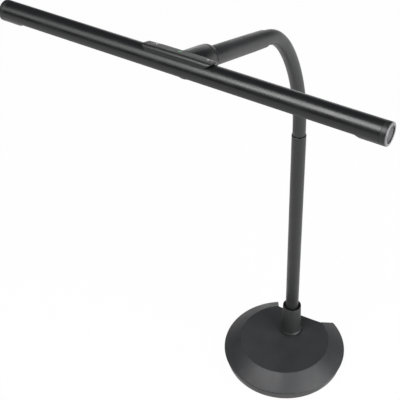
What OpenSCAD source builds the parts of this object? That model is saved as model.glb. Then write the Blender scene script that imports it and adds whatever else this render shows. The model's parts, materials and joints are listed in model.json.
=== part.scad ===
// Piano lamp: weighted round base, upright tube, gooseneck, straight arm and a long light bar.
// Millimetres, +Z up. The origin is the centre of the base on the surface that it stands on.
// +X runs along the light bar, -Y towards the player. The notch is at the back of the base, which
// stands turned a little under the head.

/* [Base] */
// Diameter of the base at its widest edge
base_d = 192; // [184:1:204]
// Diameter of the base where its wall meets the floor
base_floor_d = 184; // [176:1:188]
// Height of the widest edge
base_edge_z = 18.5; // [16:0.5:20]
// Diameter of the crest between the bevel and the dish
crest_d = 139; // [132:1:144]
// Height of the crest
crest_z = 37; // [35:0.5:39]
// Depth of the dish at the centre of the base
dish_depth = 4; // [3:0.5:4]
// Wall of the base casting
base_wall = 3.2; // [2.5:0.1:4]
// Distance from the centre back to the flat wall of the notch
notch_y = 57.5; // [55:0.5:60]
// Half width of the notch at its flat wall
notch_half = 38; // [30:1:40]
// Outward slant of the notch sides, degrees
notch_flare = 27; // [15:1:30]

// Turn of the base under the head at rest, degrees
base_turn = 3; // [0:0.5:4]

/* [Post] */
// Distance from the centre of the base back to the post
post_y = 25; // [20:1:28]
// Outside diameter of the post
post_d = 20; // [20:1:20]
// Wall of the post tube
post_wall = 1; // [1:0.1:1]
// Height of the top edge of the post
post_top_z = 427; // [400:1:450]
// Height of the collar's top rim
collar_top_z = 91; // [80:1:100]

/* [Gooseneck] */
// Diameter of the jacket
neck_d = 17.8; // [17.8:0.1:17.8]
// Bend of each link at rest, from the post to the arm, degrees
neck_bends = [6, 8, 6, 6, 8, 13, 24.5];
// Length of one link along the neck's centre line
link_len = 31.5; // [30:0.5:34]
// Radius of the balls between the links
ball_r = 7.9; // [7.8:0.05:7.9]

/* [Arm] */
// Distance from the last ball to the middle of the light bar
arm_len = 187; // [185:1:200]
// Diameter of the arm sleeve where it starts
sleeve_start_d = 20.5; // [20:0.1:20.8]
// Diameter of the arm sleeve at the head
sleeve_end_d = 21.4; // [21.2:0.1:21.5]

/* [Head] */
// Length of the light bar
bar_len = 450; // [430:10:520]
// Diameter of the light bar
bar_d = 23.2; // [23.2:0.1:23.2]
// Depth of the milled flat below the bar's axis
flat_depth = 7.7; // [7.6:0.1:7.8]
// Length of the milled flat
flat_len = 390; // [370:10:390]
// Diameter of the barrel of the T housing at the arm
barrel_d = 30; // [29.8:0.1:30.4]
// Diameter of the barrel at the light bar
barrel_front_d = 29.3; // [29:0.1:29.6]
// Height of the bar's axis over the axis of the arm and the barrel
bar_lift = 2.2; // [2:0.1:2.4]
// Length of the touch panel cover
cover_len = 82; // [82:1:86]
// Number of light-emitting diodes
led_count = 30; // [20:1:30]

/* [Hidden] */
$fn = 96;
gap = 0.05;        // running clearance of shafts, on the radius
eps = 0.01;

// base
base_r = base_d / 2;
floor_r = base_floor_d / 2;
crest_r = crest_d / 2;
pad_t = 1.5;
plate_t = 1.5;
plate_z = pad_t;
ballast_z = pad_t + plate_t;
ballast_t = 9;
ballast_top = ballast_z + ballast_t;
seat_z = 33.6;     // flat seat of the collar
under_seat_z = 29; // flat face under it, for the nut
boss_places = [[62, 36], [-62, 36], [52, -48], [-52, -48]];
boss_r = 4.5;
inlet_z = 13;
inlet_r = 2.8;

// post and its swivel
post_r = post_d / 2;
post_bore_r = post_r - post_wall;
collar_r = 13;     // spigot of the collar through the base
collar_bore_r = 12;
collar_foot_z = 20;
flange_z = ballast_top + 1.6;
flange_t = 4;
post_foot_z = flange_z + flange_t;
lead_r = 2;
lead_bore_r = 3.2;
lug_half = 4;
lug_reach = 18;
stop_r = 16;       // radius of the circle of stop pins
stop_pin_r = 2;
swivel_range = 90;
stop_angle = swivel_range + asin((lug_half + stop_pin_r + 0.3) / stop_r);

// gooseneck
neck_r = neck_d / 2;
socket_r = ball_r + 0.15;
lip = 1.5;         // skirt of a socket below the ball's centre
shoulder = 5.1;    // full diameter ends this far below the ball's centre
neck_z0 = post_top_z + 9;
links = len(neck_bends);
rest_heading = neck_heading(links);

// arm: stations along its axis, counted from the last ball
sleeve_start = 8;
taper_end = 38;
sleeve_end = arm_len - 50.9;
washer_t = 1;
web_start = sleeve_end + washer_t + 0.1;
web_t = 9.7;
spigot_r = 8;
spigot_len = 20;

// head: X along the bar, Y back along the arm, Z away from the lit side
tube_r = bar_d / 2;
tube_bore_r = tube_r - 1.6;
barrel_r = barrel_d / 2;
barrel_back = arm_len - web_start;
barrel_front = 10;   // the barrel ends against the back of the bar
barrel_round = 4.4;
cavity_r = 11.6;
cap_len = 7;
tube_end = bar_len / 2 - cap_len;
ramp = 6;
cover_half = cover_len / 2;
cover_y = 9.6;
cover_top = 14.2;
cover_low = 6.5;     // lower edge of the cover's sides
cover_wall = 1.6;
end_slope = 16;
end_drop = 0.6;
end_angle = 46;      // slant of the undercut ends
board_z = 8.4;
board_half = 36;
screw_port = [6, 1];
tube_screw_z = 1.8;
led_pitch = 12.6;

function neck_heading(k) = k == 0 ? 0 : neck_heading(k - 1) + neck_bends[k - 1];
function link_radius(k) = link_len / (neck_bends[k] * PI / 180);
function neck_point(k) = k == 0 ? [post_y * cos(base_turn), neck_z0] : neck_point(k - 1) + link_radius(k - 1)
    * [cos(neck_heading(k)) - cos(neck_heading(k - 1)), sin(neck_heading(k)) - sin(neck_heading(k - 1))];
function arc(c, r, from, to, n = 8) =
    [for (i = [0 : n]) c + r * [cos(from + (to - from) * i / n), sin(from + (to - from) * i / n)]];
function dish_height(r) = crest_z - dish_depth * (1 - pow(r / crest_r, 2));
function flip(points) = [for (i = [len(points) - 1 : -1 : 0]) [-points[i][0], points[i][1]]];

// ---------------------------------------------------------------- helpers

// a ring about Z
module ring(r_out, r_in, z, h) {
    translate([0, 0, z]) difference() {
        cylinder(r = r_out, h = h);
        translate([0, 0, -1]) cylinder(r = r_in, h = h + 2);
    }
}

// turns to the base's own directions, with its notch at the back
module in_base() {
    rotate(base_turn) children();
}

// moves to the post's axis, in the base's own directions
module at_post() {
    translate([0, post_y, 0]) children();
}

// moves to ball k of the gooseneck, with Z along the neck
module at_ball(k) {
    translate([-post_y * sin(base_turn), neck_point(k)[0], neck_point(k)[1]]) rotate([neck_heading(k), 0, 0])
        children();
}

// moves to the end of the arm's axis under the light bar, in the head's own directions
module in_barrel() {
    at_ball(links) translate([0, 0, arm_len]) rotate([-90, 0, 0]) children();
}

// moves to the middle of the light bar
module in_head() {
    in_barrel() translate([0, 0, bar_lift]) children();
}

// turns a shape drawn about Z to lie along X
module along_x() {
    rotate([90, 0, 90]) children();
}

// turns a shape drawn about Z to lie along Y
module along_y() {
    rotate([-90, 0, 0]) children();
}

// ---------------------------------------------------------------- base

// the notch in plan, grown by a margin
module notch(grow = 0) {
    half = notch_half + grow * (1 / cos(notch_flare) - tan(notch_flare));
    reach = base_r;
    wide = half + reach * tan(notch_flare);
    y = notch_y - grow;
    translate([0, 0, -1]) linear_extrude(crest_z + 10)
        polygon([[-half, y], [half, y], [wide, y + reach], [-wide, y + reach]]);
}

// everything inside the wall and the dish of the casting
module base_inside() {
    dish = [for (r = [crest_r - 8 : -10 : 1]) [r, dish_height(r) - base_wall]];
    rotate_extrude() polygon(concat(
        [[0, -1], [floor_r - base_wall, -1], [floor_r - base_wall, plate_z],
         [base_r - base_wall - 0.6, base_edge_z - 0.8], [crest_r - 1, crest_z - base_wall - 1.2]],
        dish, [[0, dish_height(0) - base_wall]]));
}

module base_shell() {
    slope = atan2(crest_z - base_edge_z, base_r - crest_r);
    edge = arc([base_r - 2, base_edge_z - 1], 2, -6, 90 - slope, 6);
    crest = arc([crest_r, crest_z - 1.2], 1.2, 90 - slope, 100, 4);
    dish = [for (r = [crest_r - 3 : -6 : 1]) [r, dish_height(r)]];
    color("#2e2f31") in_base() difference() {
        union() {
            difference() {
                rotate_extrude() polygon(concat([[0, pad_t], [floor_r, pad_t]], edge, crest, dish,
                    [[0, dish_height(0)]]));
                difference() {
                    base_inside();
                    notch(base_wall);
                }
            }
            at_post() ring(18.4, 5, under_seat_z, seat_z - under_seat_z);
            intersection() {
                base_inside();
                for (p = boss_places) translate([p[0], p[1], ballast_z]) cylinder(r = boss_r, h = crest_z);
            }
        }
        notch();
        at_post() cylinder(r = collar_r, h = 60);
        at_post() translate([0, 0, seat_z]) cylinder(r = 18.4, h = 10);
        translate([0, notch_y - base_wall - 1, inlet_z]) along_y() cylinder(r = 4, h = base_wall + 2);
        for (p = boss_places) translate([p[0], p[1], 0]) cylinder(r = 1.3, h = ballast_z + 12);
    }
}

module ballast_plate() {
    color("#55575a") in_base() difference() {
        translate([0, 0, ballast_z]) cylinder(r = 84, h = ballast_t);
        notch(base_wall + 3);
        for (p = boss_places) translate([p[0], p[1], 0]) cylinder(r = boss_r + 0.5, h = 30);
        at_post() cylinder(r = 3, h = 30);
        translate([-2.4, post_y, ballast_top - 4.4]) cube([4.8, 30, 10]);
        translate([-7, notch_y - 14, 0]) cube([14, 20, 30]);
        stop_pin_holes();
    }
}

module stop_pin_holes() {
    at_post() for (s = [-1, 1]) rotate(s * stop_angle - 90) translate([stop_r, 0, ballast_top - 5])
        cylinder(r = stop_pin_r, h = 10);
}

module bottom_plate() {
    color("#3a3b3d") in_base() difference() {
        translate([0, 0, plate_z]) cylinder(r = floor_r - base_wall - 0.2, h = plate_t);
        notch(base_wall + 0.2);
        for (p = boss_places) translate([p[0], p[1], plate_z - eps])
            cylinder(r1 = 3.1, r2 = 1.6, h = plate_t + 2 * eps);
    }
}

module foot_pad() {
    color("#1b1b1c") in_base() difference() {
        cylinder(r = floor_r - 5, h = pad_t);
        notch(4);
    }
}

module base_screws() {
    color("#8c8f93") in_base() for (p = boss_places) translate([p[0], p[1], plate_z]) {
        cylinder(r1 = 3, r2 = 1.3, h = plate_t);
        cylinder(r = 1.3, h = 11);
    }
}

module dc_inlet() {
    depth = 12;
    color("#17181a") in_base() translate([0, notch_y, inlet_z]) {
        difference() {
            union() {
                translate([-4.5, -depth, -5.5]) cube([9, depth - base_wall, 11]);
                translate([0, -base_wall - eps, 0]) along_y() cylinder(r = 4, h = base_wall + 0.4);
            }
            translate([0, -9, 0]) along_y() cylinder(r = inlet_r, h = 12);
        }
        translate([0, -9.5, 0]) along_y() cylinder(r = 1, h = 8.5);
    }
}

module base_lead() {
    z = ballast_top - lead_r - 0.1;
    y0 = notch_y - 12;
    color("#101011") in_base() {
        translate([0, post_y, z]) along_y() cylinder(r = lead_r, h = y0 - post_y);
        at_post() translate([0, 0, z]) sphere(r = lead_r);
        at_post() translate([0, 0, z]) cylinder(r = lead_r, h = flange_z - 0.2 - z);
    }
}

// tapered collar with a bead at its foot and a spigot through the base
module post_collar() {
    bead = arc([15.8, seat_z + 2], 2, -90, 60, 8);
    color("#262729") in_base() at_post() difference() {
        union() {
            rotate_extrude() polygon(concat([[0, seat_z], [15.8, seat_z]], bead,
                [[14.8, collar_top_z - 0.6], [14.2, collar_top_z], [0, collar_top_z]]));
            translate([0, 0, collar_foot_z]) cylinder(r = collar_r, h = seat_z);
        }
        translate([0, 0, -1]) cylinder(r = collar_bore_r, h = 200);
        translate([0, 0, collar_top_z - 5]) cylinder(r1 = collar_bore_r, r2 = 12.6, h = 5 + eps);
    }
}

module collar_nut() {
    color("#9a9da1") in_base() at_post() difference() {
        translate([0, 0, under_seat_z - 5]) cylinder(r = 18.5, h = 5, $fn = 6);
        cylinder(r = collar_r, h = 60);
    }
}

module swivel_bush() {
    color("#1d1e20") in_base() at_post()
        ring(collar_bore_r, post_r + gap, collar_foot_z + 2, collar_top_z - collar_foot_z - 7);
}

module thrust_washer() {
    color("#cfcfc8") in_base() at_post() ring(14, 5, ballast_top, 1.5);
}

module stop_pins() {
    color("#9a9da1") in_base() stop_pin_holes();
}

// ---------------------------------------------------------------- post

module post_tube() {
    color("#303133") in_base() at_post() difference() {
        rotate_extrude() polygon([[0, post_foot_z], [post_r, post_foot_z], [post_r, post_top_z - 0.4],
            [post_r - 0.4, post_top_z], [0, post_top_z]]);
        translate([0, 0, -1]) cylinder(r = post_bore_r, h = post_top_z + 2);
    }
}

// plug in the foot of the post, with a flange and the lug that meets the stop pins
module post_foot() {
    color("#9a9da1") in_base() at_post() difference() {
        union() {
            translate([0, 0, flange_z]) cylinder(r = 13, h = flange_t);
            translate([0, 0, flange_z]) cylinder(r = post_bore_r, h = 24);
            translate([-lug_half, -lug_reach, flange_z]) cube([2 * lug_half, lug_reach, flange_t]);
        }
        translate([0, 0, -1]) cylinder(r = lead_bore_r, h = 60);
    }
}

// conical spring washer between the flange and the collar
module friction_washer() {
    z = post_foot_z;
    color("#b4b7ba") in_base() at_post() rotate_extrude()
        polygon([[post_r + 0.3, z], [post_r + 1.3, z], [12.9, z + 1.6], [12.9, z + 2.3], [12.2, z + 2.3],
            [post_r + 0.3, z + 0.8]]);
}

module post_lead() {
    color("#101011") in_base() at_post() translate([0, 0, flange_z + 0.1])
        cylinder(r = lead_r, h = post_top_z - flange_z - 4);
}

// plug in the top of the post; its groove is the dark ring, and it carries the first ball
module neck_bush() {
    top = neck_z0 - shoulder;
    color("#242527") in_base() at_post() difference() {
        union() {
            translate([0, 0, post_top_z - 25]) cylinder(r = post_bore_r, h = 23.5);
            translate([0, 0, post_top_z - 2]) cylinder(r = neck_r - 0.8, h = 4);
            translate([0, 0, post_top_z + 1]) cylinder(r = neck_r, h = top - post_top_z - 1);
            translate([0, 0, neck_z0]) sphere(r = ball_r);
        }
        translate([0, 0, post_top_z - 30]) cylinder(r = lead_bore_r, h = 60);
        translate([0, 0, neck_z0]) ball_mouth();
    }
}

// ---------------------------------------------------------------- gooseneck

// flare of the lead's hole through a ball
module ball_mouth() {
    cylinder(r1 = lead_bore_r + 0.4, r2 = 5.6, h = ball_r);
}

// a round rod along the centre line of link k, between two distances from its ball
module bent_rod(k, rod_r, from, to) {
    rate = neck_bends[k] / link_len;
    translate([0, -link_radius(k), 0]) rotate([rate * from, 0, 0]) along_x()
        rotate_extrude(angle = rate * (to - from)) translate([link_radius(k), 0]) circle(r = rod_r);
}

// moves from the foot of link k to its top
module at_link_top(k) {
    bend = neck_bends[k];
    translate([0, link_radius(k) * (cos(bend) - 1), link_radius(k) * sin(bend)]) rotate([bend, 0, 0]) children();
}

// one link: a socket at its foot, a bent body and a ball at its top
module neck_link(k) {
    color("#2a2b2d") at_ball(k) difference() {
        union() {
            bent_rod(k, neck_r, -lip, link_len - shoulder);
            at_link_top(k) sphere(r = ball_r);
        }
        sphere(r = socket_r);
        bent_rod(k, lead_bore_r, 0, link_len + 0.5);
        at_link_top(k) ball_mouth();
    }
}

// ---------------------------------------------------------------- arm

// tube inside the arm, from the last socket to the swivel spigot
module arm_core() {
    color("#6b6e72") at_ball(links) difference() {
        union() {
            translate([0, 0, -lip]) cylinder(r = neck_r, h = lip + sleeve_end);
            cylinder(r = spigot_r, h = sleeve_end + spigot_len);
        }
        sphere(r = socket_r);
        cylinder(r = lead_bore_r, h = arm_len);
        translate([0, 0, 14]) cylinder(r = 5, h = arm_len);
    }
}

module arm_sleeve() {
    r0 = sleeve_start_d / 2;
    r1 = sleeve_end_d / 2;
    color("#2c2d2f") at_ball(links) difference() {
        rotate_extrude() polygon([[0, sleeve_start], [r0 - 0.6, sleeve_start], [r0, sleeve_start + 0.8],
            [r1 - 0.1, taper_end], [r1, sleeve_end], [0, sleeve_end]]);
        translate([0, 0, -1]) cylinder(r = neck_r, h = arm_len);
    }
}

module swivel_washer() {
    color("#cfcfc8") at_ball(links) ring(sleeve_end_d / 2, spigot_r, sleeve_end, washer_t);
}

module swivel_spring() {
    z = web_start + web_t + 0.1;
    color("#b4b7ba") at_ball(links) rotate_extrude()
        polygon([[spigot_r, z + 0.8], [10.6, z], [10.6, z + 0.8], [spigot_r, z + 1.6]]);
}

module swivel_nut() {
    z = web_start + web_t + 1.7;
    color("#9a9da1") at_ball(links) difference() {
        translate([0, 0, z]) cylinder(r = 11, h = 5, $fn = 6);
        cylinder(r = spigot_r, h = arm_len);
    }
}

// ---------------------------------------------------------------- head

// T housing: bearing web at the arm, saddle for the bar at the front
module head_barrel() {
    front_r = barrel_front_d / 2;
    nose = arc([front_r - barrel_round, barrel_front + barrel_round], barrel_round, -90, 0, 8);
    color("#2c2d2f") in_barrel() difference() {
        union() {
            difference() {
                along_y() rotate_extrude()
                    polygon(concat([[0, barrel_front]], nose, [[barrel_r, barrel_back], [0, barrel_back]]));
                along_y() translate([0, 0, -1]) cylinder(r = cavity_r, h = barrel_back - web_t + 1);
            }
            for (s = [-1, 1]) translate([s * 9.6, 10.5, tube_screw_z - bar_lift]) along_y()
                cylinder(r = 3, h = 20);
        }
        along_y() cylinder(r = spigot_r + gap, h = arm_len);
        translate([0, 0, bar_lift]) {
            along_x() cylinder(r = tube_r, h = 60, center = true);
            screw_shanks();
        }
    }
}

module swivel_ring() {
    z = barrel_back;
    inside = sleeve_end_d / 2 + 0.3;
    rim = arc([barrel_r - 2.2, z + 4.4], 2, 0, 80, 6);
    color("#38393b") in_barrel() along_y() rotate_extrude()
        polygon(concat([[inside, z], [barrel_r - 0.2, z]], rim, [[inside, z + 6.4]]));
}

// the bar as a full round rod
module bar_rod(r, len) {
    along_x() cylinder(r = r, h = len, center = true);
}

module light_tube() {
    half = flat_len / 2;
    color("#2b2c2e") in_head() difference() {
        bar_rod(tube_r, 2 * tube_end);
        bar_rod(tube_bore_r, bar_len);
        rotate([90, 0, 0]) linear_extrude(40, center = true) polygon([[-half, -flat_depth], [half, -flat_depth],
            [half + ramp, -tube_r - 0.2], [-half - ramp, -tube_r - 0.2]]);
        translate([-board_half - 1, -6.5, board_z]) cube([2 * board_half + 2, 13, 10]);
        translate([0, 0, -bar_lift]) along_y() cylinder(r = 4, h = 20);
        screw_shanks();
    }
}

module screw_shanks() {
    for (s = [-1, 1]) translate([s * 9.6, 8.8, tube_screw_z]) along_y() cylinder(r = 1.5, h = 15);
}

module tube_screws() {
    color("#8c8f93") in_head() {
        screw_shanks();
        for (s = [-1, 1]) translate([s * 9.6, 6.3, tube_screw_z]) along_y() cylinder(r = 2.7, h = 2.5);
    }
}

// rail that carries the board, with two screw ports at each end
module led_carrier() {
    reach = tube_end - 11;
    port = 25;
    color("#b9bcbf") in_head() difference() {
        union() {
            translate([-reach, -9.4, -2.5]) cube([2 * reach, 18.8, 1.5]);
            for (s = [-1, 1]) {
                translate([-half_flat(), s * 7.6 - 0.6, -5.4]) cube([2 * half_flat(), 1.2, 3]);
                for (t = [-1, 1]) translate([t * (reach - port / 2), s * screw_port[0], screw_port[1]])
                    bar_rod(2.4, port);
            }
        }
        for (s = [-1, 1]) translate([0, s * screw_port[0], screw_port[1]]) bar_rod(1.25, bar_len);
    }
}

function half_flat() = flat_len / 2 - 2;

module led_board() {
    color("#e9e7de") in_head() translate([-half_flat(), -5, -3.7]) cube([2 * half_flat(), 10, 1.2]);
}

module leds() {
    color("#f1dc6b") in_head() for (i = [0 : led_count - 1])
        translate([(i - (led_count - 1) / 2) * led_pitch - 1.5, -1.5, -4.5]) cube([3, 3, 0.8]);
}

// opal strip, held by its flanges behind the edges of the flat
module diffuser() {
    color("#f4f3ee") in_head() {
        translate([-half_flat(), -6.2, -flat_depth]) cube([2 * half_flat(), 12.4, 1.2]);
        translate([-half_flat(), -7.5, -6.5]) cube([2 * half_flat(), 15, 1]);
    }
}

// a cap drawn at the +X end
module end_cap() {
    outside = bar_len / 2;
    recess = 1.8;
    rotate([0, 90, 0]) difference() {
        rotate_extrude() polygon([[0, tube_end - 9], [tube_bore_r, tube_end - 9], [tube_bore_r, tube_end],
            [tube_r, tube_end], [tube_r, outside - 1], [tube_r - 0.3, outside - 0.3], [tube_r - 1, outside],
            [8.5, outside], [8.5, outside - recess], [0, outside - recess]]);
        for (s = [-1, 1]) translate([-screw_port[1], s * screw_port[0], 0]) {
            cylinder(r = 1.25, h = bar_len);
            translate([0, 0, outside - recess - 1.8]) cylinder(r = 2.4, h = 3);
        }
    }
}

module end_cap_left() {
    color("#1f2022") in_head() mirror([1, 0, 0]) end_cap();
}

module end_cap_right() {
    color("#1f2022") in_head() end_cap();
}

module cap_discs() {
    color("#3a3b3d") in_head() for (s = [-1, 1])
        translate([s * (bar_len / 2 - 1.3), 0, 0]) bar_rod(8.5, 1);
}

module cap_screws() {
    x = bar_len / 2 - 1.8;
    color("#8c8f93") in_head() for (s = [-1, 1], t = [-1, 1])
        translate([0, t * screw_port[0], screw_port[1]]) {
            translate([s * (x - 13), 0, 0]) bar_rod(1.25, 26);
            translate([s * (x - 0.9), 0, 0]) bar_rod(2.3, 1.8);
        }
}

// section of the cover across the bar, shrunk by its wall for the inside
module cover_section(in = 0) {
    r = 3.6 - in;
    y = cover_y - in;
    z = cover_top - in;
    corner = arc([y - r, z - r], r, 0, 90, 8);
    polygon(concat([[y, 0]], corner, flip(corner), [[-y, 0]]));
}

// half length of the cover's top, shrunk so that the slanted ends keep their wall
function cover_reach(in) = cover_half - in * (1 / tan(end_angle) + 1 / sin(end_angle));

// outline of the cover from the front: sloping end zones on top and undercut ends
module cover_front(in = 0) {
    x = cover_reach(in);
    top = cover_top - in - end_drop;
    nose = arc([x - 0.7, top - 0.7], 0.7, end_angle - 90, 88, 6);
    run = (nose[0][1] - cover_low - 3 + 3 * cos(end_angle)) / tan(end_angle);
    low = arc([nose[0][0] - run - 3 * sin(end_angle), cover_low + 3], 3, -90, end_angle - 90, 4);
    end = concat(low, nose, [[x - end_slope, cover_top - in]]);
    polygon(concat(end, flip(end)));
}

// height of the underside of the cover's top
function cover_inside(x) = cover_top - cover_wall
    - max(0, x - cover_reach(cover_wall) + end_slope) * end_drop / (end_slope - 0.7);

module cover_solid(in = 0) {
    intersection() {
        along_x() linear_extrude(bar_len, center = true) cover_section(in);
        rotate([90, 0, 0]) linear_extrude(60, center = true) cover_front(in);
    }
}

module panel_cover() {
    color("#1c1d1f") in_head() difference() {
        cover_solid();
        difference() {
            cover_solid(cover_wall);
            translate([0, 0, cover_top - cover_wall - 0.6]) lens_place() cylinder(r = 4, h = 3);
        }
        bar_rod(tube_r, bar_len);
        lens_place() cylinder(r = 2.6, h = 20);
    }
}

module lens_place() {
    translate([-0.5, 1, 0]) children();
}

module control_board() {
    color("#2f6b45") in_head() translate([-board_half, -6.3, board_z]) cube([2 * board_half, 12.6, 1.2]);
}

module touch_springs() {
    color("#c8b26a") in_head() for (x = [-33, -25, 8, 25, 33]) translate([x, 0, board_z + 1.2]) {
        turn = (cover_inside(abs(x) + 2.2) - board_z - 1.2) / 3;
        for (i = [0 : 2]) ring(2.2 - 0.3 * i, 1.6 - 0.3 * i, i * turn, turn);
    }
}

module power_lens() {
    color("#7fe08a") in_head() lens_place() translate([0, 0, board_z + 1.2]) {
        cylinder(r = 1.6, h = 3);
        translate([0, 0, 2.4]) cylinder(r = 2.6, h = cover_top - board_z - 3.6);
    }
}

base_shell();
ballast_plate();
bottom_plate();
foot_pad();
base_screws();
dc_inlet();
base_lead();
post_collar();
collar_nut();
swivel_bush();
thrust_washer();
stop_pins();
post_tube();
post_foot();
friction_washer();
post_lead();
neck_bush();
neck_link(0);  // neck_link_1
neck_link(1);  // neck_link_2
neck_link(2);  // neck_link_3
neck_link(3);  // neck_link_4
neck_link(4);  // neck_link_5
neck_link(5);  // neck_link_6
neck_link(6);  // neck_link_7
arm_core();
arm_sleeve();
swivel_washer();
swivel_spring();
swivel_nut();
head_barrel();
swivel_ring();
light_tube();
tube_screws();
led_carrier();
led_board();
leds();
diffuser();
end_cap_left();
end_cap_right();
cap_discs();
cap_screws();
panel_cover();
control_board();
touch_springs();
power_lens();
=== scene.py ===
import json
import math

import bpy
from mathutils import Matrix, Vector


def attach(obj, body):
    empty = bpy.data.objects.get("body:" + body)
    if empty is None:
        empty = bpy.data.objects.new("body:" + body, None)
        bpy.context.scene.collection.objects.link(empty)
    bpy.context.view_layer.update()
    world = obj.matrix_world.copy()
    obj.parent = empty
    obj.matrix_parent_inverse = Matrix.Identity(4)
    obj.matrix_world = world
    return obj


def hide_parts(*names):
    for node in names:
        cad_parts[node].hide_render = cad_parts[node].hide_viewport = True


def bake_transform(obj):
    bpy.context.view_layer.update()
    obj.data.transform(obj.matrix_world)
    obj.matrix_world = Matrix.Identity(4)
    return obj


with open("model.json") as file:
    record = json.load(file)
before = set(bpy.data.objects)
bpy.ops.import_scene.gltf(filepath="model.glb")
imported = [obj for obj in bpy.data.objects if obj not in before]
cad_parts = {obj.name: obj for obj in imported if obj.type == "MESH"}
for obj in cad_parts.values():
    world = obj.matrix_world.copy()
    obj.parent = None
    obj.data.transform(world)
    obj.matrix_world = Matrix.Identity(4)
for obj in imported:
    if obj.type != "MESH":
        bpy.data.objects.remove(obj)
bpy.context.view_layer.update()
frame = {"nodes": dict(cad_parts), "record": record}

MM = 0.001
SEGMENTS = 96
FINE_SEGMENTS = 128

# The lamp's own measures in millimetres, as the frame has them
BASE_TURN = 3
POST_FROM_CENTRE = 25
POST_X = -POST_FROM_CENTRE * math.sin(math.radians(BASE_TURN))
POST_Y = POST_FROM_CENTRE * math.cos(math.radians(BASE_TURN))
NECK_BENDS = [6, 8, 6, 6, 8, 13, 24.5]
LINK_LENGTH = 31.5
FIRST_BALL = 436
ARM_LENGTH = 187
BAR_LIFT = 2.2
JACKET_R = 9.0
JACKET_FOOT = 428.4
JACKET_START = 428.5
JACKET_ROUNDING = 0.8
JACKET_ON_ARM = 9
JACKET_ON_ARM_STEPS = 5
BASE_R = 96
RIM_Z = 18.5
CREST_R, CREST_Z, CREST_ROUNDING = 69.5, 37, 1.2
DISH_DEPTH = 4
CASTING_WALL = 3.2
NOTCH_HALF, NOTCH_Y = 38, 57.5
NOTCH_WALL_HALF = 39.96
NOTCH_REACH, NOTCH_SPREAD = 96, 27
SOCKET_Z = 13
BAR_R = 11.6
COVER_HALF, COVER_DEEP, COVER_LOW, COVER_TOP = 41, 9.6, 7.25, 14.2
COVER_FOLDS = (25, 29)
COVER_DROP = 0.3
POWER_X, POWER_Y = -0.5, 1

ACROSS = Matrix.Rotation(math.radians(-90), 4, "X")
RIGHTWARD = Matrix.Rotation(math.radians(90), 4, "Y")
LEFTWARD = Matrix.Rotation(math.radians(-90), 4, "Y")


# ---------------------------------------------------------------- places


def at(y, z, turn=0):
    """A place in the post's middle plane, turned about X by some degrees."""
    spot = Matrix.Translation((POST_X * MM, y * MM, z * MM))
    return spot @ Matrix.Rotation(math.radians(turn), 4, "X")


def neck_stations():
    """Place (y, z) and heading of every ball centre of the gooseneck, from the post to the arm."""
    y, z, heading = POST_Y, FIRST_BALL, 0
    found = [(y, z, heading)]
    for bend in NECK_BENDS:
        radius = LINK_LENGTH / math.radians(bend)
        a, b = math.radians(heading), math.radians(heading + bend)
        y += radius * (math.cos(b) - math.cos(a))
        z += radius * (math.sin(b) - math.sin(a))
        heading += bend
        found.append((y, z, heading))
    return found


NECK = neck_stations()
ARM = at(*NECK[-1])
POST = at(POST_Y, 0)
BARREL = ARM @ Matrix.Translation((0, 0, ARM_LENGTH * MM)) @ ACROSS
HEAD = BARREL @ Matrix.Translation((0, 0, BAR_LIFT * MM))
BASE = Matrix.Rotation(math.radians(BASE_TURN), 4, "Z")
FOOT = BASE @ Matrix.Translation((0, POST_FROM_CENTRE * MM, 0))


# ---------------------------------------------------------------- modelling


def nothing_selected():
    """Goes back to object mode with nothing selected."""
    if bpy.context.mode != "OBJECT":
        bpy.ops.object.mode_set(mode="OBJECT")
    bpy.ops.object.select_all(action="DESELECT")


def edit(piece):
    """Opens one piece in edit mode."""
    nothing_selected()
    piece.select_set(True)
    bpy.context.view_layer.objects.active = piece
    bpy.ops.object.mode_set(mode="EDIT")


def done(piece, name, place=None, smooth=35):
    """Names the piece, puts its place into its mesh and smooths its round faces."""
    nothing_selected()
    piece.name = name
    piece.data.name = name
    if place is not None:
        piece.matrix_world = place @ piece.matrix_world
    piece.select_set(True)
    bpy.context.view_layer.objects.active = piece
    bpy.ops.object.transform_apply(location=True, rotation=True, scale=True)
    bpy.ops.object.shade_smooth_by_angle(angle=math.radians(smooth))
    nothing_selected()
    return piece


def ring_up(radius, z, verts=SEGMENTS):
    """A new circle of edges in millimetres about Z, all of it selected in edit mode."""
    nothing_selected()
    bpy.ops.mesh.primitive_circle_add(
        vertices=verts, radius=radius * MM, fill_type="NOTHING", location=(0, 0, z * MM)
    )
    piece = bpy.context.object
    bpy.ops.object.transform_apply(location=True, rotation=False, scale=False)
    edit(piece)
    bpy.ops.mesh.select_all(action="SELECT")
    return piece


def draw_out(stations, start):
    """Extrudes the selected ring through (radius, z) stations, from the ring at start."""
    r, z = start
    for r2, z2 in stations:
        bpy.ops.mesh.extrude_region_move(TRANSFORM_OT_translate={"value": (0, 0, (z2 - z) * MM)})
        if r2 != r:
            bpy.ops.transform.resize(value=(r2 / r, r2 / r, 1), center_override=(0, 0, z2 * MM))
        r, z = r2, z2


def turned(name, stations, place, closed=False, verts=SEGMENTS, smooth=35):
    """A lathe shape through (radius, z) stations: capped at both ends, or closed as a ring."""
    piece = ring_up(*stations[0], verts)
    if not closed:
        bpy.ops.mesh.edge_face_add()
        bpy.ops.mesh.select_all(action="SELECT")
        bpy.ops.mesh.select_mode(type="EDGE")
    draw_out(stations[1:] + (stations[:1] if closed else []), stations[0])
    if not closed:
        bpy.ops.mesh.edge_face_add()
    bpy.ops.mesh.select_all(action="SELECT")
    if closed:
        bpy.ops.mesh.remove_doubles(threshold=1e-6)
    bpy.ops.mesh.normals_make_consistent(inside=False)
    return done(piece, name, place, smooth)


def round_corner(r, z, radius, start, stop, steps=6):
    """Stations of a rounded corner whose centre is (r, z)."""
    angles = [math.radians(start + (stop - start) * i / steps) for i in range(steps + 1)]
    return [(r + radius * math.cos(a), z + radius * math.sin(a)) for a in angles]


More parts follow.
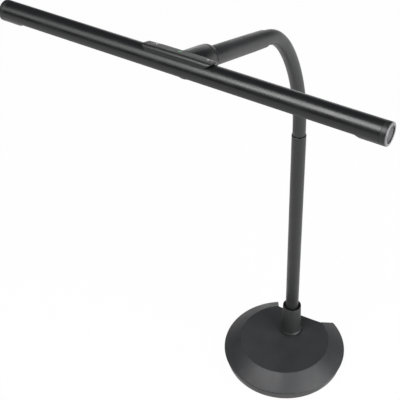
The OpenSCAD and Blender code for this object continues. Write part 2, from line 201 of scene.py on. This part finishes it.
def pick(piece, test, what="EDGE"):
    """Selects, in edit mode, the points, edges or faces that pass a test on millimetres."""
    bpy.ops.mesh.select_mode(type=what)
    bpy.ops.mesh.select_all(action="DESELECT")
    bpy.ops.object.mode_set(mode="OBJECT")
    data = piece.data
    spots = [v.co / MM for v in data.vertices]
    if what == "VERT":
        for v in data.vertices:
            v.select = test(spots[v.index])
    elif what == "EDGE":
        for e in data.edges:
            e.select = test(spots[e.vertices[0]], spots[e.vertices[1]])
    else:
        for f in data.polygons:
            f.select = test(f.center / MM, f.normal)
    bpy.ops.object.mode_set(mode="EDIT")


def block(low, high):
    """A new block between two corners in millimetres, in edit mode."""
    nothing_selected()
    size = [(b - a) * MM for a, b in zip(low, high)]
    middle = [(a + b) / 2 * MM for a, b in zip(low, high)]
    bpy.ops.mesh.primitive_cube_add(size=1, location=middle, scale=size)
    piece = bpy.context.object
    bpy.ops.object.transform_apply(location=True, rotation=False, scale=True)
    edit(piece)
    return piece


def cut(piece, tool, kind="DIFFERENCE"):
    """Takes a tool out of a piece, and throws the tool away."""
    nothing_selected()
    piece.select_set(True)
    bpy.context.view_layer.objects.active = piece
    made = piece.modifiers.new("cut", "BOOLEAN")
    made.operation = kind
    made.solver = "EXACT"
    made.object = tool
    bpy.ops.object.modifier_apply(modifier="cut")
    shape = tool.data
    bpy.data.objects.remove(tool)
    bpy.data.meshes.remove(shape)


def soften(piece, width, angle=40, segments=2):
    """Rounds the sharp edges of a finished shape a little."""
    nothing_selected()
    piece.select_set(True)
    bpy.context.view_layer.objects.active = piece
    made = piece.modifiers.new("soft", "BEVEL")
    made.width = width * MM
    made.segments = segments
    made.limit_method = "ANGLE"
    made.angle_limit = math.radians(angle)
    bpy.ops.object.modifier_apply(modifier="soft")


# ---------------------------------------------------------------- camera

CAMERA_AT = (0.449744, -0.870246, 1.179738)
CAMERA_YAW, CAMERA_PITCH, CAMERA_ROLL = 34.4935, 40.7381, -2.7207
FOCAL_PX, CENTRE_X, CENTRE_Y, PHOTO_PX = 925.648, 201.249, 197.165, 400


def make_camera():
    """The camera that the photo was taken with, as it was fitted."""
    data = bpy.data.cameras.new("camera")
    camera = bpy.data.objects.new("camera", data)
    bpy.context.scene.collection.objects.link(camera)
    data.sensor_width = 36
    data.lens = 36 * FOCAL_PX / PHOTO_PX
    data.shift_x = (PHOTO_PX / 2 - CENTRE_X) / PHOTO_PX
    data.shift_y = (CENTRE_Y - PHOTO_PX / 2) / PHOTO_PX
    data.clip_start, data.clip_end = 0.05, 50
    camera.matrix_world = (
        Matrix.Translation(CAMERA_AT)
        @ Matrix.Rotation(math.radians(CAMERA_YAW), 4, "Z")
        @ Matrix.Rotation(math.radians(90 - CAMERA_PITCH), 4, "X")
        @ Matrix.Rotation(math.radians(CAMERA_ROLL), 4, "Z")
    )
    bpy.context.scene.camera = camera


make_camera()


# ---------------------------------------------------------------- materials


def new_group(name, inputs, outputs):
    """An empty shader group with its sockets."""
    group = bpy.data.node_groups.new(name, "ShaderNodeTree")
    for socket, kind, value in inputs:
        made = group.interface.new_socket(socket, in_out="INPUT", socket_type=kind)
        made.default_value = value
    for socket, kind in outputs:
        group.interface.new_socket(socket, in_out="OUTPUT", socket_type=kind)
    group.nodes.new("NodeGroupInput").name = "in"
    group.nodes.new("NodeGroupOutput").name = "out"
    return group


def powder_group():
    """Orange peel and fine grit of a baked powder coat."""
    g = new_group(
        "powder_coat",
        [("Vector", "NodeSocketVector", (0, 0, 0)), ("Grain Size", "NodeSocketFloat", 2500.0)],
        [("Height", "NodeSocketFloat"), ("Mottle", "NodeSocketFloat")],
    )
    n, link = g.nodes, g.links.new
    fine = n.new("ShaderNodeTexNoise")
    fine.inputs["Detail"].default_value = 3
    fine.inputs["Roughness"].default_value = 0.6
    link(n["in"].outputs["Vector"], fine.inputs["Vector"])
    link(n["in"].outputs["Grain Size"], fine.inputs["Scale"])
    broad = n.new("ShaderNodeTexNoise")
    broad.inputs["Scale"].default_value = 38
    broad.inputs["Detail"].default_value = 4
    link(n["in"].outputs["Vector"], broad.inputs["Vector"])
    link(fine.outputs["Fac"], n["out"].inputs["Height"])
    link(broad.outputs["Fac"], n["out"].inputs["Mottle"])
    return g


POWDER = powder_group()


def coated(name, color, roughness, grain, bump, vary=0.12):
    """A painted or moulded finish with fine grit, whose roughness and tone vary a little."""
    material = bpy.data.materials.new(name)
    material.use_nodes = True
    tree = material.node_tree
    n, link = tree.nodes, tree.links.new
    shader = n["Principled BSDF"]
    where = n.new("ShaderNodeTexCoord")
    powder = n.new("ShaderNodeGroup")
    powder.node_tree = POWDER
    powder.inputs["Grain Size"].default_value = grain
    link(where.outputs["Object"], powder.inputs["Vector"])
    rough = n.new("ShaderNodeMapRange")
    rough.inputs["From Min"].default_value = 0.3
    rough.inputs["From Max"].default_value = 0.7
    rough.inputs["To Min"].default_value = roughness - vary / 2
    rough.inputs["To Max"].default_value = roughness + vary / 2
    link(powder.outputs["Mottle"], rough.inputs["Value"])
    link(rough.outputs["Result"], shader.inputs["Roughness"])
    tone = n.new("ShaderNodeMix")
    tone.data_type = "RGBA"
    tone.inputs[6].default_value = (*[c * 0.88 for c in color], 1)
    tone.inputs[7].default_value = (*[min(1, c * 1.12) for c in color], 1)
    link(powder.outputs["Mottle"], tone.inputs[0])
    link(tone.outputs[2], shader.inputs["Base Color"])
    relief = n.new("ShaderNodeBump")
    relief.inputs["Strength"].default_value = bump
    relief.inputs["Distance"].default_value = 0.0002
    link(powder.outputs["Height"], relief.inputs["Height"])
    link(relief.outputs["Normal"], shader.inputs["Normal"])
    return material


def metal(name, color, roughness):
    """A bare metal with the same fine grit."""
    material = coated(name, color, roughness, grain=900, bump=0.05, vary=0.15)
    material.node_tree.nodes["Principled BSDF"].inputs["Metallic"].default_value = 1
    return material


LOOKS = {
    "cast_black": coated(
        "black powder coat on the casting", (0.028, 0.0285, 0.03), 0.47, 1500, 0.25
    ),
    "post_black": coated("black powder coat on the tube", (0.016, 0.0163, 0.0168), 0.38, 2600, 0.1),
    "alu_black": coated("satin black coat on aluminium", (0.006, 0.0062, 0.0065), 0.3, 2600, 0.08),
    "jacket": coated("matt black neck jacket", (0.02, 0.0205, 0.021), 0.42, 1800, 0.1),
    "cover": coated("smooth black moulding", (0.012, 0.0122, 0.0125), 0.42, 3200, 0.04),
    "plastic_black": coated("fine black moulding", (0.012, 0.012, 0.013), 0.5, 3200, 0.1),
    "collar_black": coated("satin black collar", (0.025, 0.0255, 0.026), 0.48, 2600, 0.06),
    "ring_black": coated("satin black ring", (0.008, 0.0082, 0.0085), 0.3, 2600, 0.05),
    "cap_black": coated("black end cap", (0.01, 0.0102, 0.0105), 0.42, 3200, 0.06),
    # The end caps' rim faces get a light grey: a painted highlight for the light they reflect from
    # the right.
    "rim": coated("rim grey painted as a highlight", (0.16, 0.16, 0.165), 0.3, 3200, 0.04),
    "disc_grey": coated("grey inlaid disc", (0.03, 0.03, 0.032), 0.35, 2200, 0.1),
    "pad": coated("black foam rubber", (0.01, 0.01, 0.01), 0.85, 1200, 0.4),
    "lead": coated("black lead sheath", (0.01, 0.01, 0.01), 0.6, 1600, 0.1),
    "iron": coated("dark rough iron", (0.05, 0.05, 0.052), 0.7, 700, 0.4),
    "sheet": coated("matt black sheet", (0.02, 0.02, 0.021), 0.6, 1500, 0.15),
    "screw": metal("zinc plated steel", (0.6, 0.6, 0.61), 0.35),
    "spring": metal("plain brass", (0.78, 0.6, 0.28), 0.3),
    "alu": metal("plain aluminium", (0.75, 0.76, 0.77), 0.38),
    "acetal": coated("natural acetal", (0.72, 0.71, 0.66), 0.45, 1800, 0.05),
    "board": coated("white solder mask", (0.8, 0.79, 0.74), 0.35, 1200, 0.05),
    "board_green": coated("green solder mask", (0.04, 0.2, 0.08), 0.3, 1200, 0.05),
    "led": coated("yellow phosphor", (0.85, 0.65, 0.15), 0.5, 3000, 0.05),
    "opal": coated("opal diffuser", (0.82, 0.82, 0.8), 0.45, 2600, 0.05),
    "lens": coated("smoked power lens", (0.012, 0.016, 0.013), 0.2, 2600, 0.02),
    "power_green": coated("green power light", (0.05, 0.4, 0.09), 0.4, 2600, 0.02),
    "print_white": coated("white print", (0.6, 0.6, 0.59), 0.5, 3000, 0.05),
    "dimple": coated("dark touch dimple", (0.006, 0.006, 0.006), 0.25, 2600, 0.03),
}

SLOT_OF = {part["node"]: part["material_slot"] for part in frame["record"]["subparts"]}
for name, node in frame["nodes"].items():
    node.data.materials.clear()
    node.data.materials.append(LOOKS[SLOT_OF[name]])


def finish(piece, look):
    """Gives a piece one finish."""
    piece.data.materials.clear()
    piece.data.materials.append(LOOKS[look])
    return piece


# ---------------------------------------------------------------- base


def dish(r):
    """Height of the dish at a distance from the centre of the base."""
    return CREST_Z - DISH_DEPTH * (1 - (r / CREST_R) ** 2)


def notch_tool(half, y):
    """A block that widens to the back, to cut the notch with."""
    tool = block((-half, y, -1), (half, y + NOTCH_REACH, 47))
    pick(tool, lambda v: v.y > y + NOTCH_REACH / 2, "VERT")
    wide = half + NOTCH_REACH * math.tan(math.radians(NOTCH_SPREAD))
    bpy.ops.transform.resize(value=(wide / half, 1, 1), center_override=(0, 0, 0))
    nothing_selected()
    return tool


def base_casting():
    """Bevelled round casting with a shallow dish and the notch at its back."""
    slope = math.degrees(math.atan2(CREST_Z - RIM_Z, BASE_R - CREST_R))
    edge = round_corner(BASE_R - 2, RIM_Z - 1, 2, -6, 90 - slope, 8)
    crest = round_corner(CREST_R, CREST_Z - CREST_ROUNDING, CREST_ROUNDING, 90 - slope, 100, 6)
    dished = [(r, dish(r)) for r in (66, 60, 52, 44, 36, 28, 20, 12, 4)]
    piece = turned("casting", [(91.4, 1.5), (92, 2.1)] + edge + crest + dished, None, verts=192)
    hollow = [(88.8, -1), (88.8, 1.5), (92.2, 17.7), (68.5, 32.6)]
    hollow += [(r, dish(r) - CASTING_WALL) for r in (61, 50, 36, 20, 4)]
    inside = turned("hollow", hollow, None, verts=96)
    cut(inside, notch_tool(NOTCH_WALL_HALF, NOTCH_Y - CASTING_WALL))
    cut(piece, inside)
    cut(piece, notch_tool(NOTCH_HALF, NOTCH_Y))
    under_post = Matrix.Translation((0, POST_FROM_CENTRE * MM, 0))
    cut(piece, turned("bore", [(15.2, 20), (15.2, 60)], under_post))
    behind_wall = Matrix.Translation((0, 50 * MM, SOCKET_Z * MM)) @ ACROSS
    cut(piece, turned("socket hole", [(4.05, 0), (4.05, 12)], behind_wall, verts=48))
    soften(piece, 0.5)
    done(piece, "base_casting", BASE, 30)
    finish(piece, "cast_black")
    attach(piece, "base")
    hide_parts("base_shell")


def collar():
    """Tapered collar: slim lip over its foot, rounded mouth round the post."""
    mouth = round_corner(13.7, 90.5, 0.5, 0, 90, 4) + round_corner(13.1, 90.5, 0.5, 90, 180, 4)
    flare = [(15.4, 42), (15.5, 40.6), (15.9, 39.6), (16.5, 39)]
    lip = round_corner(16.1, 38, 0.9, 50, -70, 6)
    inner = [(12.1, 86.5), (12, 86), (12, 33)]
    profile = [(15.1, 33), (15.1, 36.6), (15.6, 37)] + lip[::-1] + flare[::-1] + mouth + inner
    piece = turned("post_collar_shell", profile, FOOT, closed=True, verts=FINE_SEGMENTS)
    finish(piece, "collar_black")
    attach(piece, "base")
    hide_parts("post_collar")


base_casting()
collar()


# ---------------------------------------------------------------- gooseneck jacket


def bend_centre(k):
    """Centre (y, z) of the arc of link k, and its radius in millimetres."""
    y, z, heading = NECK[k]
    radius = LINK_LENGTH / math.radians(NECK_BENDS[k])
    a = math.radians(heading)
    return (y - radius * math.cos(a), z - radius * math.sin(a)), radius


def half_link(k):
    """Spins the selected ring along half of link k."""
    (y, z), _ = bend_centre(k)
    bpy.ops.mesh.spin(
        steps=max(6, round(NECK_BENDS[k])),
        angle=-math.radians(NECK_BENDS[k] / 2),
        center=(0, y * MM, z * MM),
        axis=(1, 0, 0),
    )


def middle_of(k):
    """Point and heading halfway along link k."""
    (y, z), radius = bend_centre(k)
    heading = NECK[k][2] + NECK_BENDS[k] / 2
    a = math.radians(heading)
    spot = (POST_X, y + radius * math.cos(a), z + radius * math.sin(a))
    return Vector(spot) * MM, heading


def edit_shift(piece, place):
    """Moves a mesh under way to its place, with its last ring still selected."""
    bpy.ops.object.mode_set(mode="OBJECT")
    piece.data.transform(place)
    piece.data.update()
    edit(piece)


def jacket(k):
    """The stretch of jacket over ball k, from halfway along one link to halfway along the next."""
    if k == 0:
        rounding = JACKET_ROUNDING
        lip = round_corner(JACKET_R - rounding, JACKET_FOOT + rounding, rounding, -90, 0, 5)
        piece = ring_up(*lip[0])
        bpy.ops.mesh.edge_face_add()
        bpy.ops.mesh.select_mode(type="EDGE")
        draw_out(lip[1:] + [(JACKET_R, FIRST_BALL)], lip[0])
        bpy.ops.mesh.select_mode(type="VERT")
        edit_shift(piece, POST)
        start = POST @ Vector((0, 0, JACKET_START * MM))
    else:
        start, heading = middle_of(k - 1)
        piece = ring_up(JACKET_R, 0)
        bpy.ops.mesh.edge_face_add()
        turn = Matrix.Rotation(math.radians(heading), 4, "X")
        edit_shift(piece, Matrix.Translation(start) @ turn)
        half_link(k - 1)
    if k < len(NECK_BENDS):
        half_link(k)
        end, _ = middle_of(k)
    else:
        along = ARM.to_3x3() @ Vector((0, 0, 1))
        reach = along * (JACKET_ON_ARM / JACKET_ON_ARM_STEPS * MM)
        for _ in range(JACKET_ON_ARM_STEPS):
            bpy.ops.mesh.extrude_region_move(TRANSFORM_OT_translate={"value": reach})
        end = ARM @ Vector((0, 0, JACKET_ON_ARM * MM))
    bpy.ops.mesh.edge_face_add()
    bpy.ops.mesh.select_all(action="SELECT")
    bpy.ops.mesh.normals_make_consistent(inside=False)
    done(piece, f"neck_jacket_{k + 1}")
    return piece, start, end


for k in range(len(NECK)):
    piece, start, end = jacket(k)
    finish(piece, "jacket")
    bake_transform(piece)
    if k:
        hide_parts(f"neck_link_{k}")


# ---------------------------------------------------------------- arm and head


def on(piece, body, slot, *nodes):
    """Puts a finished piece on its body, in place of the nodes that it stands for."""
    finish(piece, slot)
    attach(piece, body)
    if nodes:
        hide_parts(*nodes)


def sleeve():
    """Straight sleeve of the arm with a rolled mouth where the gooseneck enters."""
    mouth = round_corner(9.55, 8.7, 0.7, 180, 0, 8)
    back = round_corner(10.4, 135.8, 0.3, 0, 90, 3)
    profile = [(9.05, 135.9), (9.05, 9)] + mouth[1:] + [(10.4, 18), (10.6, 38), (10.65, 90)] + back
    piece = turned("arm_sleeve_tube", profile, ARM, closed=True, verts=FINE_SEGMENTS)
    on(piece, "arm", "post_black", "arm_sleeve")


def barrel():
    """Barrel of the T housing with its rounded nose, cut to the back of the light bar."""
    nose = round_corner(10.25, 14.4, 4.4, -72, 0, 10)
    back = round_corner(14.6, 49.2, 0.4, 0, 90, 4)
    profile = nose + [(14.85, 32)] + back + [(8.3, 49.6), (8.3, 40.1), (11.6, 40.1)]
    piece = turned("barrel", profile, ACROSS, closed=True, verts=FINE_SEGMENTS)
    along_bar = Matrix.Translation((0, 0, BAR_LIFT * MM)) @ RIGHTWARD
    cut(piece, turned("bar", [(BAR_R + 0.08, -30), (BAR_R + 0.08, 30)], along_bar))
    soften(piece, 0.35, 50)
    done(piece, "head_barrel_shell", BARREL, 40)
    on(piece, "head", "alu_black", "head_barrel")


def turning_ring():
    """Ring between arm and barrel, with a turned groove beside its rounded shoulder."""
    shoulder = round_corner(12.9, 54.3, 1.9, 0, 85, 8)
    flank = [(14.5, 50), (14.8, 50.3), (14.8, 52.9), (14.3, 53.2), (14.3, 53.7), (14.75, 54)]
    profile = [(11.1, 50)] + flank + shoulder + [(11.1, 56.2)]
    piece = turned("turning_ring", profile, BARREL @ ACROSS, closed=True, verts=FINE_SEGMENTS)
    on(piece, "head", "ring_black", "swivel_ring")


def end_cap(side, name, node):
    """Turned end cap: its rim painted light grey as a highlight, round a recess for the disc."""
    corner = [(10, 210), (10, 218), (11.3, 218), (11.55, 218.25)]
    corner += [(11.58, 218.6), (11.58, 223.9)]
    rim = [(11.4, 224.4), (10.9, 224.9), (10.5, 225), (8.9, 225), (8.55, 224.7), (8.5, 223.2)]
    piece = turned(name, corner + rim, HEAD @ side, verts=FINE_SEGMENTS)
    on(piece, "head", "cap_black", node)
    # Painted highlight: the flat rim faces get the light grey instead of the cap's black.
    piece.data.materials.append(LOOKS["rim"])
    from_head = HEAD.inverted()
    for face in piece.data.polygons:
        spot = from_head @ face.center / MM
        if abs(spot.x) > 223.95 and spot.yz.length > 8.6:
            face.material_index = 1
    disc = [(8.1, 223.2), (8.35, 223.45), (8.35, 223.95), (8.1, 224.2), (6.9, 224.2), (6.7, 223.9)]
    disc += [(6.3, 223.9), (6.1, 224.2), (2, 224.2)]
    inlay = turned(name + "_disc", disc, HEAD @ side, verts=FINE_SEGMENTS)
    on(inlay, "head", "disc_grey", "cap_discs")


def cover_top(x):
    """Height of the touch panel's top at a place along the bar."""
    fold = COVER_FOLDS[0]
    return COVER_TOP - 2 * COVER_DROP * max(0, abs(x) - fold) / (COVER_HALF - fold)


def touch_cover():
    """Long smooth cover with rounded edges, lower end zones and undercut ends."""
    piece = block((-COVER_HALF, -COVER_DEEP, COVER_LOW), (COVER_HALF, COVER_DEEP, COVER_TOP))
    for side in (-1, 1):
        for x in COVER_FOLDS:
            bpy.ops.mesh.select_all(action="SELECT")
            bpy.ops.mesh.bisect(plane_co=(side * x * MM, 0, 0), plane_no=(1, 0, 0))
        pick(piece, lambda v: v.x * side > 28 and v.z > 10, "VERT")
        bpy.ops.transform.translate(value=(0, 0, -COVER_DROP * MM))
        pick(piece, lambda v: v.x * side > 40 and v.z > 10, "VERT")
        bpy.ops.transform.translate(value=(0, 0, -COVER_DROP * MM))
        pick(piece, lambda v: v.x * side > 40 and v.z < 10, "VERT")
        bpy.ops.transform.translate(value=(-side * 6.7 * MM, 0, 0))
        pick(piece, lambda v: v.x * side > 28, "VERT")
        bpy.ops.transform.resize(value=(1, 0.97, 1), center_override=(0, 0, 0))
    foot = COVER_LOW + 0.1
    pick(piece, lambda a, b: max(a.z, b.z) < foot and min(abs(a.x), abs(b.x)) > 33)
    bpy.ops.mesh.bevel(offset=3 * MM, segments=5)
    pick(piece, lambda a, b: a.z > 13 and b.z > 13 and a.y * b.y > 50)
    bpy.ops.mesh.bevel(offset=3.6 * MM, segments=8)
    soften(piece, 0.6, 30, 3)
    room = block((-37.6, -8, 5), (37.6, 8, 12.4))
    pick(room, lambda v: v.z < 6, "VERT")
    bpy.ops.transform.resize(value=(30.4 / 37.6, 1, 1), center_override=(0, 0, 0))
    cut(piece, room)
    cut(piece, turned("bar", [(BAR_R + 0.5, -60), (BAR_R + 0.5, 60)], RIGHTWARD))
    over_lens = Matrix.Translation((POWER_X * MM, POWER_Y * MM, 0))
    cut(piece, turned("eye", [(2.65, 10), (2.65, 20)], over_lens, verts=48))
    done(piece, "touch_cover", HEAD, 40)
    on(piece, "head", "cover", "panel_cover")


def on_panel(x, y, turn=0):
    """A place on top of the touch panel."""
    spot = Matrix.Translation((x * MM, y * MM, cover_top(x) * MM))
    return HEAD @ spot @ Matrix.Rotation(math.radians(turn), 4, "Z")


def touch_marks():
    """Plain printed marks over the touch fields: a dimple, a dot in a ring, a plus and a minus."""
    for name, x, y in (("dimple_right", 25.9, 1.7), ("dimple_left", -36.4, 2)):
        rim = [(1.5, -0.3), (1.5, 0.05), (1.3, 0.08), (0.9, -0.02), (0.4, -0.05)]
        on(turned(name, rim, on_panel(x, y), verts=32), "head", "dimple")
    for name, x, y in (("dot_right", 31, 2.9), ("dot_left", -28.3, 2.4)):
        ring = [(0.75, -0.2), (1.1, -0.2), (1.1, 0.03), (1.05, 0.05), (0.8, 0.05), (0.75, 0.03)]
        on(turned(name, ring, on_panel(x, y), closed=True, verts=32), "head", "print_white")
        spot = [(0.35, -0.2), (0.35, 0.03), (0.3, 0.05)]
        on(turned(name + "_middle", spot, on_panel(x, y), verts=20), "head", "print_white")
    for name, x, y, turns in (("plus", 34.7, 3.4, (0, 90)), ("minus", -31.8, 2.8, (0,))):
        for turn in turns:
            bar = block((-1, -0.22, -0.2), (1, 0.22, 0.05))
            soften(bar, 0.04, 40, 1)
            done(bar, f"{name}_{turn}", on_panel(x, y, turn))
            on(bar, "head", "print_white")


def power_sign():
    """Open ring and bar of the power light."""
    ring = block((1.3, -0.1, -0.2), (1.8, 0, 0.04))
    pick(ring, lambda c, n: n.y > 0.9, "FACE")
    bpy.ops.mesh.spin(steps=29, angle=-math.radians(290), center=(0, 0, 0), axis=(0, 0, 1))
    bpy.ops.mesh.select_all(action="SELECT")
    bpy.ops.mesh.normals_make_consistent(inside=False)
    done(ring, "power_ring", on_panel(POWER_X, POWER_Y, 125))
    on(ring, "head", "power_green")
    bar = block((-0.25, 0.5, -0.2), (0.25, 2.1, 0.04))
    soften(bar, 0.04, 40, 1)
    done(bar, "power_bar", on_panel(POWER_X, POWER_Y))
    on(bar, "head", "power_green")


sleeve()
barrel()
turning_ring()
end_cap(RIGHTWARD, "cap_right", "end_cap_right")
end_cap(LEFTWARD, "cap_left", "end_cap_left")
touch_cover()
touch_marks()
power_sign()


# ---------------------------------------------------------------- studio


WORLD_TINT, WORLD_STRENGTH = (0.9, 0.93, 1, 1), 0.12
FLOOR_SIZE, FLOOR_GREY, FLOOR_GLOW, FLOOR_SHARE = 30, 0.45, 1.03, 0.94

# Name, place and aim in metres, size and power of each soft light
LIGHTS = (
    ("front", (-0.2, -1.2, 2.22), (0, -0.05, 0.35), 1.1, 36),
    ("right", (2.0, -0.3, 1.15), (0, -0.05, 0.3), 1.8, 62),
    ("left", (-1.05, -1.3, 1.85), (0, -0.1, 0.5), 1.0, 8),
    ("back", (-0.9, 1.9, 0.75), (0, -0.1, 0.5), 1.2, 2.5),
)


def background():
    """A faint sky that lights the lamp, seen as plain white by the camera."""
    world = bpy.data.worlds.new("studio")
    bpy.context.scene.world = world
    world.use_nodes = True
    n, link = world.node_tree.nodes, world.node_tree.links.new
    n["Background"].inputs["Color"].default_value = WORLD_TINT
    n["Background"].inputs["Strength"].default_value = WORLD_STRENGTH
    white = n.new("ShaderNodeBackground")
    view = n.new("ShaderNodeLightPath")
    sort = n.new("ShaderNodeMixShader")
    link(view.outputs["Is Camera Ray"], sort.inputs["Fac"])
    link(n["Background"].outputs["Background"], sort.inputs[1])
    link(white.outputs["Background"], sort.inputs[2])
    link(sort.outputs["Shader"], n["World Output"].inputs["Surface"])
    white.inputs["Color"].default_value = (1, 1, 1, 1)


def pale_floor():
    """A plain pale floor that keeps the shadow, bright to the camera and in reflections."""
    nothing_selected()
    bpy.ops.mesh.primitive_plane_add(size=FLOOR_SIZE)
    floor = bpy.context.object
    floor.name = "floor"
    material = bpy.data.materials.new("pale floor")
    material.use_nodes = True
    n, link = material.node_tree.nodes, material.node_tree.links.new
    shader = n["Principled BSDF"]
    shader.inputs["Base Color"].default_value = (FLOOR_GREY, FLOOR_GREY, FLOOR_GREY, 1)
    shader.inputs["Roughness"].default_value = 0.9
    shader.inputs["Specular IOR Level"].default_value = 0
    glow = n.new("ShaderNodeEmission")
    glow.inputs["Strength"].default_value = FLOOR_GLOW
    path = n.new("ShaderNodeLightPath")
    lit = n.new("ShaderNodeMath")
    lit.operation = "MULTIPLY"
    lit.inputs[1].default_value = FLOOR_SHARE
    mix = n.new("ShaderNodeMixShader")
    seen = n.new("ShaderNodeMath")
    seen.operation = "MAXIMUM"
    mirrored = n.new("ShaderNodeMath")
    mirrored.operation = "MAXIMUM"
    link(path.outputs["Is Glossy Ray"], mirrored.inputs[0])
    link(path.outputs["Is Transmission Ray"], mirrored.inputs[1])
    link(path.outputs["Is Camera Ray"], seen.inputs[0])
    link(mirrored.outputs["Value"], seen.inputs[1])
    link(seen.outputs["Value"], lit.inputs[0])
    link(lit.outputs["Value"], mix.inputs["Fac"])
    link(shader.outputs["BSDF"], mix.inputs[1])
    link(glow.outputs["Emission"], mix.inputs[2])
    link(mix.outputs["Shader"], n["Material Output"].inputs["Surface"])
    floor.data.materials.append(material)


def soft_lights():
    """Large soft lights, each aimed at a point of the lamp."""
    for name, place, aim, size, power in LIGHTS:
        data = bpy.data.lights.new(name, "AREA")
        data.size = size
        data.energy = power
        lamp = bpy.data.objects.new(name, data)
        bpy.context.scene.collection.objects.link(lamp)
        lamp.location = place
        heading = (Vector(aim) - Vector(place)).to_track_quat("-Z", "Y")
        lamp.rotation_euler = heading.to_euler()


bpy.context.scene.view_settings.view_transform = "Standard"
background()
pale_floor()
soft_lights()
